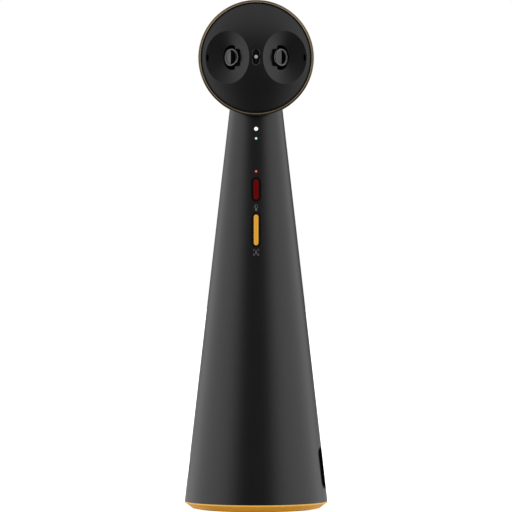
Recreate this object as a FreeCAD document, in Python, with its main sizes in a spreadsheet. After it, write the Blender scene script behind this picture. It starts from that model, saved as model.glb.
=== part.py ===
"""Conference camera: a black cone on an amber foot ring, with a round two-lens head.

Millimetres, +Z up, the front faces -Y, and the origin is the middle of the foot on the floor.
"""
import FreeCAD, Part
import math
import os

import Sketcher
from FreeCAD import Placement, Rotation, Vector

doc = FreeCAD.newDocument("ConferenceCamera")

# Driving dimensions: alias, millimetres or degrees, what it is
TABLE = [
    ("total_height", 320.0, "floor to the top of the head ring"),
    ("head_radius", 36.25, "outer radius of the bronze ring"),
    ("base_radius", 45.15, "foot of the cone"),
    ("neck_radius", 17.2, "cone where it meets the head"),
    ("wall", 2.5, "cone wall, measured level"),
    ("floor_gap", 0.6, "how far the rubber foot stands out"),
    ("seam_height", 4.75, "top of the amber ring"),
    ("lip_height", 0.8, "upright lip of the amber ring"),
    ("chamfer_width", 4.65, "slope of the amber ring, measured level"),
    ("ring_ledge", 2.0, "ledge that traps the amber ring"),
    ("ring_step", 2.3, "height of the base plate's flange"),
    ("ring_sole", 1.7, "flat underside of the amber ring"),
    ("plate_gap", 0.2, "seam between base plate and amber ring"),
    ("plate_rim", 1.5, "rim of the base plate outside the rubber foot ring"),
    ("foot_width", 6.9, "rubber foot ring, inside to outside"),
    ("foot_depth", 1.4, "groove for the rubber foot ring"),
    ("boss_inset", 3.2, "base screws, inward from the outside of the foot ring"),
    ("boss_radius", 3.6, "screw boss in the cone"),
    ("boss_height", 14.0, "screw boss in the cone"),
    ("rib_width", 2.2, "rib between boss and cone wall"),
    ("screw_radius", 1.45, "M3 screw shank"),
    ("screw_head", 2.8, "M3 screw head radius"),
    ("screw_head_height", 1.5, "M3 screw head"),
    ("screw_length", 12.0, "M3 screw shank length"),
    ("insert_radius", 5.0, "tripod insert, outside"),
    ("insert_bore", 2.6, "tap bore of the quarter inch insert"),
    ("insert_length", 8.4, "tripod insert below its flange"),
    ("insert_flange", 1.2, "tripod insert flange thickness"),
    ("insert_wall", 4.0, "plastic round the tripod insert"),
    ("ballast_gap", 0.5, "between ballast disc and screw bosses"),
    ("ballast_height", 9.5, "steel ballast disc"),
    ("chassis_front", 5.0, "front face of the chassis plate, behind the axis"),
    ("chassis_thickness", 3.0, "chassis plate"),
    ("chassis_foot_inset", 5.4, "chassis foot disc inside the ballast disc"),
    ("chassis_foot_height", 3.0, "chassis foot disc"),
    ("chassis_low_inset", 2.0, "chassis plate inside its foot disc"),
    ("chassis_top_half", 11.0, "half width of the chassis at its top"),
    ("neck_space", 26.7, "chassis top below the head"),
    ("post_radius", 1.2, "posts that carry the key board"),
    ("post_side", 4.0, "posts, distance from the middle"),
    ("board_thickness", 1.6, "main board and head board"),
    ("board_half_width", 17.5, "main board"),
    ("board_low", 50.0, "main board, lower edge"),
    ("board_high", 149.0, "main board, upper edge"),
    ("standoff", 3.2, "main board off the chassis"),
    ("standoff_inset", 3.5, "standoffs in from the edges of the main board"),
    ("standoff_radius", 2.5, "main board standoff"),
    ("chip_size", 16.0, "processor package"),
    ("chip_height", 1.6, "processor package"),
    ("sink_width", 34.0, "heat sink"),
    ("sink_height", 60.0, "heat sink"),
    ("sink_base", 3.0, "heat sink base plate"),
    ("fin_length", 12.0, "heat sink fins"),
    ("fin_thickness", 1.2, "heat sink fins"),
    ("plug_width", 10.0, "board connectors"),
    ("plug_height", 6.0, "board connectors"),
    ("plug_depth", 3.2, "board connectors"),
    ("loom_radius", 1.5, "cable loom through the neck"),
    ("loom_forward", 1.4, "loom in front of the axis"),
    ("key_travel", 0.4, "stroke of both keys"),
    ("key_gap", 0.1, "round each key in its frame"),
    ("key_proud", 0.25, "key face in front of the cone"),
    ("key_flange", 1.2, "flange that keeps a key in"),
    ("key_flange_height", 0.8, "flange thickness"),
    ("key_round", 0.35, "rounding of the key faces"),
    ("frame_depth", 2.7, "depth of the key frames"),
    ("mute_drop", 3.7, "top of the mute key below the red light"),
    ("mute_wide", 4.1, "mute key"),
    ("mute_tall", 13.5, "mute key"),
    ("mute_rim", 1.0, "frame round the mute key"),
    ("framing_drop", 8.85, "top of the framing key below the mute key"),
    ("framing_wide", 3.15, "framing key"),
    ("framing_tall", 19.5, "framing key"),
    ("framing_rim", 1.35, "frame round the framing key"),
    ("white_drop", 8.9, "white light below the head"),
    ("white_radius", 1.4, "white light pipe"),
    ("teal_drop", 6.0, "teal light below the white light"),
    ("teal_radius", 0.95, "teal light pipe"),
    ("red_drop", 20.7, "red light below the teal light"),
    ("red_radius", 0.95, "red light pipe"),
    ("key_board_depth", 6.2, "front of the key board behind the cone's face"),
    ("key_board_thickness", 1.2, "key board"),
    ("key_board_width", 11.0, "key board"),
    ("key_board_margin", 4.0, "key board past its last part"),
    ("switch_size", 4.6, "tact switch"),
    ("switch_height", 1.9, "tact switch"),
    ("plunger_radius", 1.0, "switch plunger"),
    ("plunger_gap", 0.05, "running gap of the plunger"),
    ("plunger_length", 1.7, "switch plunger"),
    ("led_height", 0.6, "lamp chips"),
    ("led_size", 1.6, "lamp chips"),
    ("fit", 0.05, "clearance of a piece in its seat"),
    ("bay_turn", 79.5, "port bay, degrees from the front"),
    ("bay_height", 26.1, "middle of the port bay"),
    ("bay_wide", 14.6, "port bay liner"),
    ("bay_tall", 26.3, "port bay liner"),
    ("bay_corner", 5.0, "corner radius of the liner"),
    ("bay_wall", 1.0, "liner wall and floor"),
    ("bay_depth", 8.5, "liner floor behind the cone's face"),
    ("socket_wide", 3.2, "USB-C receptacle"),
    ("socket_tall", 8.9, "USB-C receptacle"),
    ("socket_depth", 7.3, "USB-C receptacle"),
    ("socket_skin", 0.3, "USB-C receptacle wall"),
    ("socket_tongue", 0.7, "USB-C receptacle tongue"),
    ("socket_pitch", 11.4, "between the two receptacles"),
    ("port_board_thickness", 1.2, "port board"),
    ("lock_turn", -82.0, "lock slot, degrees from the front"),
    ("lock_height", 26.1, "middle of the lock slot"),
    ("lock_wide", 3.0, "lock slot"),
    ("lock_tall", 7.4, "lock slot"),
    ("lock_plate_wide", 10.0, "lock plate"),
    ("lock_plate_tall", 15.0, "lock plate"),
    ("lock_plate_thickness", 1.4, "lock plate"),
    ("drum_step", 0.7, "head shell inside the bronze ring"),
    ("drum_wall", 2.2, "head shell"),
    ("drum_front", 17.5, "head shell, in front of the axis"),
    ("drum_back", 19.0, "head shell, behind the axis"),
    ("drum_round", 7.0, "rounded back edge of the head shell"),
    ("saddle_gap", 0.15, "seam between cone and head"),
    ("ring_length", 4.2, "bronze ring, front to back"),
    ("ring_width", 1.7, "bronze ring, seen from the front"),
    ("ring_round", 0.55, "rounded outer edge of the bronze ring"),
    ("ring_groove", 0.22, "fine groove turned in the front of the bronze ring"),
    ("face_gap", 0.45, "dark gap between bronze ring and domed face"),
    ("face_inset", 0.7, "dome edge behind the front of the ring"),
    ("dome_sphere", 70.0, "radius of the dome"),
    ("face_wall", 2.0, "face wall"),
    ("spigot_length", 4.6, "spigot of the face in the drum"),
    ("gasket_height", 0.4, "face gasket"),
    ("dish_edge", 2.4, "outer end of a dish, in from the edge of the face"),
    ("dish_inner", 4.24, "inner end of a dish, from the middle"),
    ("dish_half_tall", 18.8, "half height of a dish at its middle plane"),
    ("tip_side", 16.3, "lowest point of a dish, from the middle"),
    ("tip_front", 21.7, "lowest point of a dish, in front of the axis"),
    ("lens_turn", 45.0, "each lens axis, degrees off straight ahead"),
    ("lens_side", 16.04, "front of a lens ring, from the middle"),
    ("lens_front", 24.2, "front of a lens ring, in front of the axis"),
    ("lens_ring_radius", 5.55, "trim ring of a lens"),
    ("lens_ring_bore", 4.3, "trim ring of a lens"),
    ("lens_ring_height", 1.45, "trim ring of a lens"),
    ("holder_size", 10.6, "square lens holder"),
    ("holder_corner", 1.2, "square lens holder"),
    ("holder_length", 9.6, "square lens holder"),
    ("holder_bore", 2.7, "light's way from the second lens to the sensor"),
    ("lens_crown", 0.1, "top of the front lens before its ring"),
    ("lens_edge", 2.6, "edge thickness of the front lens"),
    ("lens_rise", 0.8, "height of the front lens's dome"),
    ("lens_hollow", 1.4, "hollow at the back of the front lens"),
    ("lens_hollow_radius", 3.2, "hollow at the back of the front lens"),
    ("inner_lens_radius", 3.9, "second lens"),
    ("inner_lens_edge", 1.0, "second lens, edge thickness"),
    ("inner_lens_rise", 0.8, "second lens, dome height"),
    ("sensor_size", 6.5, "image sensor"),
    ("sensor_height", 0.9, "image sensor"),
    ("sensor_pocket", 1.5, "pocket behind the lenses"),
    ("sensor_board_thickness", 1.2, "sensor board"),
    ("ribbon_thickness", 0.3, "sensor ribbons"),
    ("ribbon_height", 5.0, "sensor ribbons"),
    ("ribbon_side", 5.5, "sensor ribbons, from the middle"),
    ("eye_half_wide", 5.27, "rounded part of the eye opening"),
    ("eye_half_tall", 7.83, "rounded part of the eye opening"),
    ("eye_side", 15.23, "middle of the rounded opening"),
    ("eye_end", 13.2, "where the rounded opening ends"),
    ("pill_wide", 5.1, "status window"),
    ("pill_tall", 10.2, "status window"),
    ("pill_thickness", 1.25, "status window"),
    ("pill_round", 0.3, "rounded edge of the status window"),
    ("lamp_radius", 1.4, "status lamp"),
    ("lamp_length", 5.6, "status lamp"),
    ("status_board_wide", 8.0, "status board"),
    ("status_board_tall", 12.0, "status board"),
    ("status_board_thickness", 1.0, "status board"),
    ("status_post_radius", 1.2, "posts that carry the status board"),
    ("status_post_inset", 1.8, "posts, in from the ends of the status board"),
    ("mic_inset", 1.3, "microphone slot, in from the outer end of the dish"),
    ("mic_wide", 1.4, "microphone slot"),
    ("mic_tall", 4.1, "microphone slot"),
    ("mic_body_inset", 2.3, "microphone, in from the outer end of the dish"),
    ("mic_body_wide", 3.0, "microphone"),
    ("mic_body_tall", 4.6, "microphone"),
    ("mic_body_height", 1.1, "microphone"),
    ("mesh_thickness", 0.3, "microphone mesh"),
    ("mesh_depth", 1.1, "microphone mesh below the dish"),
    ("head_board_gap", 8.1, "round the head board, inside the head shell"),
    ("head_board_back", 4.6, "back of the head board, behind the axis"),
    ("head_post_inset", 5.0, "posts, in from the edge of the head board"),
    ("head_post_radius", 2.5, "posts of the head board"),
    ("bracket_radius", 9.0, "neck bracket"),
    ("bracket_flange", 11.5, "neck bracket flange"),
    ("bracket_flange_height", 3.0, "neck bracket flange"),
    ("neck_screw_side", 6.0, "neck screws, from the axis"),
    ("neck_screw_radius", 1.2, "neck screws"),
    ("neck_screw_head", 2.1, "neck screw heads"),
    ("neck_screw_head_height", 1.8, "neck screw heads"),
    ("neck_screw_length", 10.0, "neck screws below their heads"),
]


class Size:
    """A length or an angle, with the expression that binds it to the sheet."""

    def __init__(self, value, text):
        self.value = float(value)
        self.text = text

    def __add__(self, other):
        other = as_size(other)
        return Size(self.value + other.value, "(%s + %s)" % (self.text, other.text))

    def __sub__(self, other):
        other = as_size(other)
        return Size(self.value - other.value, "(%s - %s)" % (self.text, other.text))

    def __mul__(self, other):
        other = as_size(other)
        return Size(self.value * other.value, "(%s * %s)" % (self.text, other.text))

    def __truediv__(self, other):
        other = as_size(other)
        return Size(self.value / other.value, "(%s / %s)" % (self.text, other.text))

    def __neg__(self):
        return Size(-self.value, "(0 - %s)" % self.text)

    def __radd__(self, other):
        return as_size(other) + self

    def __rsub__(self, other):
        return as_size(other) - self

    def __rmul__(self, other):
        return as_size(other) * self

    def __rtruediv__(self, other):
        return as_size(other) / self

    def __float__(self):
        return self.value


def as_size(number):
    return number if isinstance(number, Size) else Size(number, "%.9g" % number)


def sine(angle):
    return Size(math.sin(math.radians(angle.value)), "sin(%s)" % angle.text)


def cosine(angle):
    return Size(math.cos(math.radians(angle.value)), "cos(%s)" % angle.text)


def arc_tangent(ratio):
    return Size(math.degrees(math.atan(ratio.value)), "(atan(%s) / 1deg)" % ratio.text)


def root(number):
    return Size(math.sqrt(number.value), "sqrt(%s)" % number.text)


sheet = doc.addObject("Spreadsheet::Sheet", "Sizes")
for row, (alias, number, meaning) in enumerate(TABLE, start=1):
    sheet.set("A%d" % row, alias)
    sheet.set("B%d" % row, str(number))
    sheet.set("C%d" % row, meaning)
    sheet.setAlias("B%d" % row, alias)
doc.recompute()


class Book:
    """The sheet's cells, read back by their aliases."""


cells = Book()
for alias, number, meaning in TABLE:
    setattr(cells, alias, Size(sheet.get(alias), "Sizes.%s" % alias))

# Places that several pieces share
head_z = cells.total_height - cells.head_radius
drum_radius = cells.head_radius - cells.drum_step
neck_z = head_z - drum_radius
cone_fall = (cells.base_radius - cells.neck_radius) / (neck_z - cells.seam_height)
cone_angle = arc_tangent(cone_fall)
plate_top = cells.seam_height
ballast_top = plate_top + cells.ballast_height
chassis_foot_top = ballast_top + cells.chassis_foot_height
chassis_top = neck_z - cells.neck_space
ring_hole = cells.base_radius - cells.chamfer_width - cells.ring_sole
plate_radius = ring_hole - cells.plate_gap
foot_outer = plate_radius - cells.plate_rim
foot_inner = foot_outer - cells.foot_width
boss_circle = foot_outer - cells.boss_inset
ballast_radius = boss_circle - cells.boss_radius - cells.ballast_gap
chassis_foot_radius = ballast_radius - cells.chassis_foot_inset
white_z = neck_z - cells.white_drop
teal_z = white_z - cells.teal_drop
red_z = teal_z - cells.red_drop
mute_z = red_z - cells.red_radius - cells.mute_drop - cells.mute_tall / 2
framing_z = mute_z - cells.mute_tall / 2 - cells.framing_drop - cells.framing_tall / 2
board_back = cells.chassis_front - cells.standoff
board_front = board_back - cells.board_thickness
drum_inner = drum_radius - cells.drum_wall
face_radius = cells.head_radius - cells.ring_width - cells.face_gap
dish_outer = face_radius - cells.dish_edge
head_board_radius = drum_inner - cells.head_board_gap
dome_edge = cells.drum_front + cells.ring_length - cells.face_inset
dome_reach = root(cells.dome_sphere * cells.dome_sphere - face_radius * face_radius)
dome_centre = dome_edge - dome_reach
dome_top = dome_centre + cells.dome_sphere
NOTHING = Size(0, "0")


def cone_radius(height):
    """Outer radius of the cone at a height."""
    return cells.base_radius - cone_fall * (height - cells.seam_height)


bay_floor = cone_radius(cells.bay_height) - cells.bay_depth


# Placements, written as expressions

def place(x=0, y=0, z=0, yaw=0, roll=0):
    numbers = [as_size(n) for n in (x, y, z, yaw, roll)]
    text = "placement(vector(%s; %s; %s); rotation(%s; 0; %s))" % tuple(n.text for n in numbers)
    return text


def on_head(x=0, y=0, z=0):
    """The head's own frame: x right, y up, z forward from the axis of the cone."""
    return place(x, -as_size(z), head_z + y, roll=90)


def on_cone(height):
    """A frame on the front of the cone: y up the wall, z out of it."""
    return place(0, -cone_radius(height), height, roll=90 - cone_angle)


def sideways(turn, height):
    """A level frame that looks out from the axis, turned from the front."""
    return place(0, 0, height, yaw=turn, roll=90)


# Outlines: each is a list of closed loops, a loop being its corners and its arcs

def outline(corners, arcs=None):
    """arcs: corner number to centre x, centre y and 1 for anticlockwise or -1."""
    return [("corners", [(as_size(x), as_size(y)) for x, y in corners], arcs or {})]


def disc(radius, x=0, y=0):
    return [("circle", as_size(x), as_size(y), as_size(radius))]


def ring(outer, inner):
    return disc(outer) + disc(inner)


def plate(wide, tall, x=0, y=0, corner=None):
    x, y = as_size(x), as_size(y)
    half, rise = as_size(wide) / 2, as_size(tall) / 2
    if corner is None:
        left, right, low, high = x - half, x + half, y - rise, y + rise
        return outline([(left, low), (right, low), (right, high), (left, high)])
    flat, side = half - corner, rise - corner
    corners = [
        (x - flat, y - rise), (x + flat, y - rise), (x + half, y - side), (x + half, y + side),
        (x + flat, y + rise), (x - flat, y + rise), (x - half, y + side), (x - half, y - side),
    ]
    arcs = {
        1: (x + flat, y - side, 1), 3: (x + flat, y + side, 1),
        5: (x - flat, y + side, 1), 7: (x - flat, y - side, 1),
    }
    return outline(corners, arcs)


def obround(wide, tall, x=0, y=0):
    x, y = as_size(x), as_size(y)
    half = as_size(wide) / 2
    reach = as_size(tall) / 2 - half
    corners = [(x + half, y - reach), (x + half, y + reach), (x - half, y + reach), (x - half, y - reach)]
    return outline(corners, {1: (x, y + reach, 1), 3: (x, y - reach, 1)})


def pin(sketch, kind, geometry, point, size):
    number = sketch.addConstraint(Sketcher.Constraint(kind, -1, 1, geometry, point, size.value))
    sketch.setExpression("Constraints[%d]" % number, size.text)


def draw_circle(sketch, x, y, radius):
    circle = Part.Circle(Vector(x.value, y.value, 0), Vector(0, 0, 1), radius.value)
    index = sketch.addGeometry(circle)
    number = sketch.addConstraint(Sketcher.Constraint("Radius", index, radius.value))
    sketch.setExpression("Constraints[%d]" % number, radius.text)
    pin(sketch, "DistanceX", index, 3, x)
    pin(sketch, "DistanceY", index, 3, y)


def draw_corners(sketch, corners, arcs):
    points = [Vector(x.value, y.value, 0) for x, y in corners]
    ends = {}
    for index, start in enumerate(points):
        end = points[(index + 1) % len(points)]
        if index not in arcs:
            geometry = sketch.addGeometry(Part.LineSegment(start, end))
            ends[index] = (geometry, 1, 2)
            continue
        x, y, way = arcs[index]
        x, y = as_size(x), as_size(y)
        centre = Vector(x.value, y.value, 0)
        first, last = (start, end) if way > 0 else (end, start)
        circle = Part.Circle(centre, Vector(0, 0, 1), (first - centre).Length)
        angles = [math.atan2(p.y - centre.y, p.x - centre.x) for p in (first, last)]
        geometry = sketch.addGeometry(Part.ArcOfCircle(circle, angles[0], angles[1]))
        ends[index] = (geometry, 1, 2) if way > 0 else (geometry, 2, 1)
        upright = abs(start.x - end.x) < abs(start.y - end.y) / 1000
        pin(sketch, "DistanceX" if upright else "DistanceY", geometry, 3, x if upright else y)
    for index, (x, y) in enumerate(corners):
        geometry, start, last = ends[index]
        pin(sketch, "DistanceX", geometry, start, x)
        pin(sketch, "DistanceY", geometry, start, y)
        before, first, end = ends[(index - 1) % len(corners)]
        sketch.addConstraint(Sketcher.Constraint("Coincident", before, end, geometry, start))


def add_sketch(body, role, loops, lift=None, turn=None):
    plane = [item for item in body.Origin.OriginFeatures if item.Role == role][0]
    sketch = body.newObject("Sketcher::SketchObject", body.Label + "_sketch")
    sketch.AttachmentSupport = [(plane, "")]
    sketch.MapMode = "FlatFace"
    if lift is not None:
        sketch.setExpression("AttachmentOffset", place(0, 0, lift, yaw=turn or 0))
    for loop in loops:
        if loop[0] == "circle":
            draw_circle(sketch, *loop[1:])
        else:
            draw_corners(sketch, *loop[1:])
    return sketch


def new_body(name, where=None):
    body = doc.addObject("PartDesign::Body", name)
    body.Label = name
    if where:
        body.setExpression("Placement", where)
    return body


def add(body, loops, low, high, turn=None):
    """Add material between two levels of the body's own frame."""
    low, high = as_size(low), as_size(high)
    pad = body.newObject("PartDesign::Pad", body.Label + "_pad")
    pad.Profile = add_sketch(body, "XY_Plane", loops, low, turn)
    pad.setExpression("Length", (high - low).text)
    return pad


def take(body, loops, low, high, turn=None):
    """Take material away between two levels of the body's own frame."""
    low, high = as_size(low), as_size(high)
    pocket = body.newObject("PartDesign::Pocket", body.Label + "_pocket")
    pocket.Profile = add_sketch(body, "XY_Plane", loops, high, turn)
    pocket.setExpression("Length", (high - low).text)
    return pocket


def turned(name, loops, where=None):
    """A body of revolution: radius across, height up its own axis."""
    body = new_body(name, where)
    spin = body.newObject("PartDesign::Revolution", name + "_spin")
    sketch = add_sketch(body, "XZ_Plane", loops)
    spin.Profile = sketch
    spin.ReferenceAxis = (sketch, ["V_Axis"])
    spin.Angle = 360
    return body


def prism(name, loops, low, high, where=None):
    body = new_body(name, where)
    add(body, loops, low, high)
    return body


def top_edges(shape, height):
    """Names of the edges that lie at one level of a body's own frame."""
    names = []
    for index, edge in enumerate(shape.Edges, start=1):
        if all(abs(vertex.Z - height) < 0.001 for vertex in edge.Vertexes):
            names.append("Edge%d" % index)
    return names


def round_top(body, feature, height, radius):
    doc.recompute()
    fillet = body.newObject("PartDesign::Fillet", body.Label + "_round")
    fillet.Base = (feature, top_edges(feature.Shape, as_size(height).value))
    fillet.setExpression("Radius", as_size(radius).text)


def joined(name, pieces):
    made = doc.addObject("Part::MultiFuse", name)
    made.Label = name
    made.Shapes = pieces
    return made


def shared(name, pieces):
    made = doc.addObject("Part::MultiCommon", name)
    made.Label = name
    made.Shapes = pieces
    return made


def less(name, base, tools):
    made = doc.addObject("Part::Cut", name)
    made.Label = name
    made.Base = base
    made.Tool = tools[0] if len(tools) == 1 else joined(name + "_tools", tools)
    return made


def group(name, body, places):
    """Identical pieces in one node, as separate solids."""
    doc.recompute()
    made = doc.addObject("Part::Feature", name)
    made.Label = name
    made.Shape = Part.makeCompound([body.Shape.transformed(where.toMatrix()) for where in places])
    return made


# Foot

def make_foot():
    outer_low = cells.base_radius - cells.chamfer_width
    lip_low = cells.seam_height - cells.lip_height
    hole = ring_hole
    ledge = cells.floor_gap + cells.ring_step
    turned("base_ring", outline([
        (hole, cells.floor_gap), (outer_low, cells.floor_gap), (cells.base_radius, lip_low),
        (cells.base_radius, cells.seam_height), (hole - cells.ring_ledge, cells.seam_height),
        (hole - cells.ring_ledge, ledge), (hole, ledge),
    ]))

    boss_top = cells.floor_gap + cells.insert_length
    boss_out = cells.insert_radius + cells.insert_wall
    groove = cells.floor_gap + cells.foot_depth
    flange_top = ledge - cells.fit
    inner = plate_radius - cells.ring_ledge
    base_plate = turned("base_plate", outline([
        (cells.insert_radius + cells.fit, cells.floor_gap),
        (foot_inner - cells.fit, cells.floor_gap),
        (foot_inner - cells.fit, groove),
        (foot_outer + cells.fit, groove),
        (foot_outer + cells.fit, cells.floor_gap),
        (plate_radius, cells.floor_gap), (plate_radius, flange_top),
        (inner, flange_top), (inner, plate_top), (boss_out, plate_top), (boss_out, boss_top),
        (cells.insert_radius + cells.fit, boss_top),
    ]))
    head_top = groove + cells.screw_head_height
    head_low = groove
    for step in range(4):
        turn = 45 + 90 * step
        spot = disc(cells.screw_radius + 2 * cells.key_gap, boss_circle)
        take(base_plate, spot, cells.floor_gap, plate_top, turn)
        take(base_plate, disc(cells.screw_head + 2 * cells.key_gap, boss_circle), groove, head_top, turn)

    sole = turned("foot_ring", outline([
        (foot_inner, NOTHING), (foot_outer, NOTHING),
        (foot_outer, groove), (foot_inner, groove),
    ]))
    sole.Label = "foot_ring"

    screw = turned("base_screw", outline([
        (NOTHING, head_low), (cells.screw_head, head_low),
        (cells.screw_head, head_top), (cells.screw_radius, head_top),
        (cells.screw_radius, head_top + cells.screw_length), (NOTHING, head_top + cells.screw_length),
    ]))
    places = []
    for step in range(4):
        turn = Rotation(Vector(0, 0, 1), 45 + 90 * step)
        places.append(Placement(turn.multVec(Vector(boss_circle.value, 0, 0)), Rotation()))
    group("base_screws", screw, places)

    turned("tripod_insert", outline([
        (cells.insert_bore, cells.floor_gap), (cells.insert_radius, cells.floor_gap),
        (cells.insert_radius, boss_top), (boss_out - cells.insert_wall / 2, boss_top),
        (boss_out - cells.insert_wall / 2, boss_top + cells.insert_flange),
        (NOTHING, boss_top + cells.insert_flange), (NOTHING, boss_top), (cells.insert_bore, boss_top),
    ]))

    hollow = boss_out + 4 * cells.key_gap
    turned("ballast_disc", outline([
        (hollow, plate_top), (ballast_radius, plate_top),
        (ballast_radius, ballast_top), (hollow, ballast_top),
    ]))


# Cone shell

def cone_solid(name, inward, low, high):
    """The cone as a solid of revolution, pulled inward by a wall."""
    return turned(name, outline([
        (NOTHING, low), (cone_radius(low) - inward, low),
        (cone_radius(high) - inward, high), (NOTHING, high),
    ]))


def make_shell():
    high = head_z - drum_radius / 2
    low = cells.seam_height
    shell = turned("cone_turned", outline([
        (cone_radius(low) - cells.wall, low), (cone_radius(low), low),
        (cone_radius(high), high), (cone_radius(high) - cells.wall, high),
    ]))
    boss_top = low + cells.boss_height
    rib_end = cells.base_radius - cells.wall * 3 / 4
    rib_middle = (boss_circle + rib_end) / 2
    for step in range(4):
        turn = 45 + 90 * step
        add(shell, plate(rib_end - boss_circle, cells.rib_width, rib_middle), low, boss_top, turn)
        add(shell, disc(cells.boss_radius, boss_circle), low, boss_top, turn)
        take(shell, disc(cells.screw_radius + cells.key_gap, boss_circle), low, boss_top, turn)

    saddle = prism("saddle_cut", disc(drum_radius + cells.saddle_gap),
                   -cells.base_radius, cells.base_radius, on_head())
    tools = [saddle]
    deep = cells.wall * 2
    for name, height, radius in LIGHTS:
        hole = prism(name + "_hole", disc(radius + 2 * cells.fit), -deep, cells.wall, on_cone(height))
        tools.append(hole)
    for name, height, wide, tall, rim in KEYS:
        window = obround(wide + 2 * (rim + cells.fit), tall + 2 * (rim + cells.fit))
        tools.append(prism(name + "_window", window, -deep, cells.wall, on_cone(height)))
    gap = 2 * cells.fit
    mouth = plate(cells.bay_wide + gap, cells.bay_tall + gap, corner=cells.bay_corner)
    tools.append(prism("bay_window", mouth, bay_floor, cells.base_radius + cells.wall,
                       sideways(cells.bay_turn, cells.bay_height)))
    slit = obround(cells.lock_wide, cells.lock_tall)
    tools.append(prism("lock_window", slit, bay_floor, cells.base_radius + cells.wall,
                       sideways(cells.lock_turn, cells.lock_height)))
    less("body_shell", shell, tools)


# Keys, lights and the board behind them

LIGHTS = [
    ("white_light", white_z, cells.white_radius),
    ("teal_light", teal_z, cells.teal_radius),
    ("red_light", red_z, cells.red_radius),
]
KEYS = [
    ("mute", mute_z, cells.mute_wide, cells.mute_tall, cells.mute_rim),
    ("framing", framing_z, cells.framing_wide, cells.framing_tall, cells.framing_rim),
]


def up_wall(height):
    """How far up the wall a height lies from the mute key."""
    return (height - mute_z) / cosine(cone_angle)


def make_keys():
    board_face = -cells.key_board_depth
    switch_face = board_face + cells.switch_height
    rest = switch_face + cells.plunger_length - cells.switch_height + 4 * cells.fit + cells.key_travel
    for name, height, wide, tall, rim in KEYS:
        where = on_cone(height)
        flange_low = rest
        flange_high = rest + cells.key_flange_height
        key = new_body(name + "_key", where)
        spread = 2 * cells.key_flange
        add(key, obround(wide + spread, tall + spread), flange_low, flange_high)
        cap = add(key, obround(wide, tall), flange_high, cells.key_proud)
        round_top(key, cap, cells.key_proud, cells.key_round)

        frame = new_body(name + "_frame", where)
        opening = 2 * cells.key_gap
        add(frame, obround(wide + 2 * rim, tall + 2 * rim), -cells.frame_depth, cells.fit)
        take(frame, obround(wide + opening, tall + opening), -cells.frame_depth, cells.fit)

        switch = new_body(name + "_switch", where)
        add(switch, plate(cells.switch_size, cells.switch_size), board_face, switch_face)
        bore = disc(cells.plunger_radius + cells.plunger_gap)
        take(switch, bore, rest - cells.plunger_length - cells.key_travel - cells.fit, switch_face)
        prism(name + "_plunger", disc(cells.plunger_radius), rest - cells.plunger_length, rest, where)

    chips = []
    for name, height, radius in LIGHTS:
        body = new_body(name, on_cone(height))
        pipe = add(body, disc(radius), board_face + cells.led_height, cells.fit)
        round_top(body, pipe, cells.fit, cells.key_round)
        chip = prism(name + "_chip", plate(cells.led_size, cells.led_size), board_face,
                     board_face + cells.led_height, on_cone(height))
        chips.append(chip)
    doc.recompute()
    lamps = doc.addObject("Part::Compound", "status_leds")
    lamps.Label = "status_leds"
    lamps.Links = chips

    low = up_wall(framing_z) - cells.framing_tall / 2 - cells.key_board_margin
    high = up_wall(white_z) + cells.key_board_margin
    board = plate(cells.key_board_width, high - low, 0, (high + low) / 2)
    prism("key_board", board, board_face - cells.key_board_thickness, board_face, on_cone(mute_z))


# Port bay and lock slot

def make_bay():
    where = sideways(cells.bay_turn, cells.bay_height)
    whole_cone = cone_solid("whole_cone", NOTHING, cells.seam_height, neck_z)
    cup = new_body("bay_cup", where)
    back = bay_floor - cells.bay_wall
    wide = cells.bay_wide - 2 * cells.bay_wall
    tall = cells.bay_tall - 2 * cells.bay_wall
    beyond = cells.base_radius + cells.wall
    add(cup, plate(cells.bay_wide, cells.bay_tall, corner=cells.bay_corner), back, beyond)
    take(cup, plate(wide, tall, corner=cells.bay_corner - cells.bay_wall), bay_floor, beyond)
    for side in (-1, 1):
        middle = side * cells.socket_pitch / 2
        gap = 2 * cells.fit
        take(cup, obround(cells.socket_wide + gap, cells.socket_tall + gap, 0, middle), back, bay_floor)
    shared("port_liner", [cup, whole_cone])

    sockets = []
    for side, name in ((-1, "socket_low"), (1, "socket_high")):
        middle = side * cells.socket_pitch / 2
        body = new_body(name, where)
        low = bay_floor - cells.socket_depth
        skin = 2 * cells.socket_skin
        add(body, obround(cells.socket_wide, cells.socket_tall, 0, middle), low, bay_floor)
        floor = low + cells.socket_depth / 5
        inside = obround(cells.socket_wide - skin, cells.socket_tall - skin, 0, middle)
        take(body, inside, floor, bay_floor)
        tongue = plate(cells.socket_tongue, cells.socket_tall - 3 * cells.socket_tongue, 0, middle)
        add(body, tongue, floor, bay_floor - cells.socket_tongue)
        sockets.append(body)
    doc.recompute()
    pair = doc.addObject("Part::Compound", "usb_sockets")
    pair.Label = "usb_sockets"
    pair.Links = sockets

    low = bay_floor - cells.socket_depth - cells.port_board_thickness
    tall = 2 * (cells.bay_height - ballast_top)
    prism("port_board", plate(cells.bay_wide, tall), low, low + cells.port_board_thickness, where)


def make_lock():
    where = sideways(cells.lock_turn, cells.lock_height)
    low = cells.lock_height - cells.lock_plate_tall
    high = cells.lock_height + cells.lock_plate_tall
    near = cells.wall + 2 * cells.fit
    outside = cone_solid("lock_outside", near, low, high)
    inside = cone_solid("lock_inside", near + cells.lock_plate_thickness, low, high)
    skin = less("lock_skin", outside, [inside])
    sheet_piece = plate(cells.lock_plate_wide, cells.lock_plate_tall)
    block = new_body("lock_block", where)
    beyond = cells.base_radius + cells.wall
    add(block, sheet_piece, bay_floor, beyond)
    take(block, obround(cells.lock_wide, cells.lock_tall), bay_floor, beyond)
    shared("lock_plate", [skin, block])


# Chassis and boards inside the cone

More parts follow.
